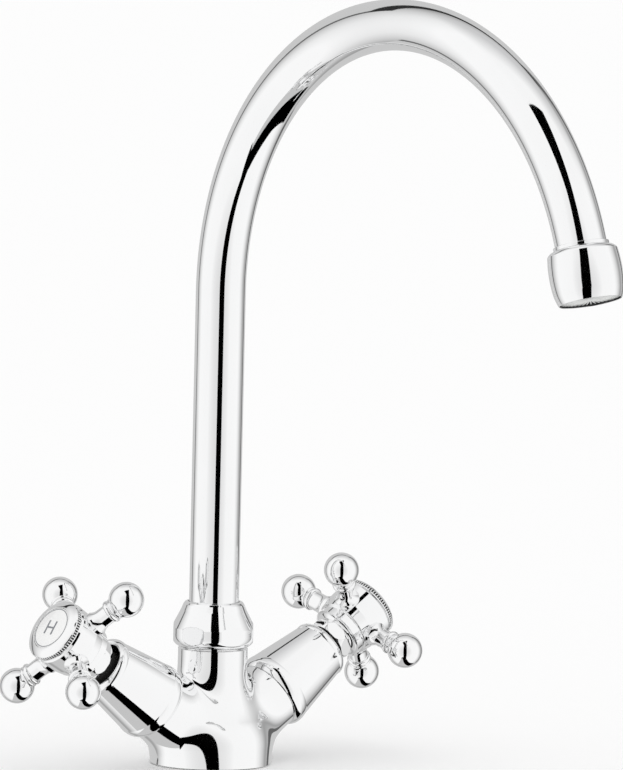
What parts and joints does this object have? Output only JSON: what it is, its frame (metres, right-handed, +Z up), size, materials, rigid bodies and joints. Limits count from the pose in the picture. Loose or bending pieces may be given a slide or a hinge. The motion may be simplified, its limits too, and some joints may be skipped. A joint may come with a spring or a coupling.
{
  "type": "two handle kitchen faucet",
  "caption": "Deck mounted kitchen faucet: round base, swivelling gooseneck spout with aerator, and a cross handle with ball-ended spokes on each angled side valve.",
  "frame": {"origin": "centre of the round base, on the plane of the worktop", "axes": "+Z up along the riser; X along the line through both handles, hot at -X; the spout reaches towards -Y"},
  "size_m": [0.1836, 0.2747, 0.3135],
  "materials": {
    "chrome": "polished",
    "brass": "machined",
    "steel": "machined",
    "black_rubber": "matt",
    "white_plastic": "moulded",
    "ceramic": "lapped",
    "white_glaze": "glazed"
  },
  "bodies": {
    "faucet_body": {"body": "chrome", "base_gasket": "black_rubber", "spout_nut": "chrome", "slip_washer_lower": "white_plastic", "slip_washer_upper": "white_plastic", "hot_headwork_body": "brass", "hot_headwork_oring": "black_rubber", "hot_seat_seal": "black_rubber", "hot_fixed_disc": "ceramic", "hot_bonnet": "chrome", "cold_headwork_body": "brass", "cold_headwork_oring": "black_rubber", "cold_seat_seal": "black_rubber", "cold_fixed_disc": "ceramic", "cold_bonnet": "chrome"},
    "spout": {"spout_foot": "brass", "foot_oring_lower": "black_rubber", "foot_oring_upper": "black_rubber", "spout_tube": "chrome", "spout_tip": "chrome", "aerator_housing": "chrome", "aerator_washer": "black_rubber", "aerator_cartridge": "white_plastic", "aerator_screen": "white_plastic"},
    "hot_handle": {"hot_handle_hub": "chrome", "hot_spoke_1": "chrome", "hot_spoke_2": "chrome", "hot_spoke_3": "chrome", "hot_spoke_4": "chrome", "hot_handle_screw": "steel", "hot_index_bezel": "chrome", "hot_index_disc": "white_glaze", "hot_spindle": "brass", "hot_spindle_clip": "steel", "hot_spindle_oring": "black_rubber", "hot_moving_disc": "ceramic"},
    "cold_handle": {"cold_handle_hub": "chrome", "cold_spoke_1": "chrome", "cold_spoke_2": "chrome", "cold_spoke_3": "chrome", "cold_spoke_4": "chrome", "cold_handle_screw": "steel", "cold_index_bezel": "chrome", "cold_index_disc": "white_glaze", "cold_spindle": "brass", "cold_spindle_clip": "steel", "cold_spindle_oring": "black_rubber", "cold_moving_disc": "ceramic"}
  },
  "joints": [
    {"name": "spout_swivel", "type": "hinge", "parent": "faucet_body", "child": "spout", "pos_m": [0, 0, 0.0584], "axis": [0, 0, 1], "continuous": true},
    {"name": "hot_turn", "type": "hinge", "parent": "faucet_body", "child": "hot_handle", "pos_m": [-0.0712, 0, 0.05254], "axis": [-0.8387, 0, 0.5446], "range_deg": [0, 90]},
    {"name": "cold_turn", "type": "hinge", "parent": "faucet_body", "child": "cold_handle", "pos_m": [0.0712, 0, 0.05254], "axis": [0.8387, 0, 0.5446], "range_deg": [-90, 0]}
  ]
}
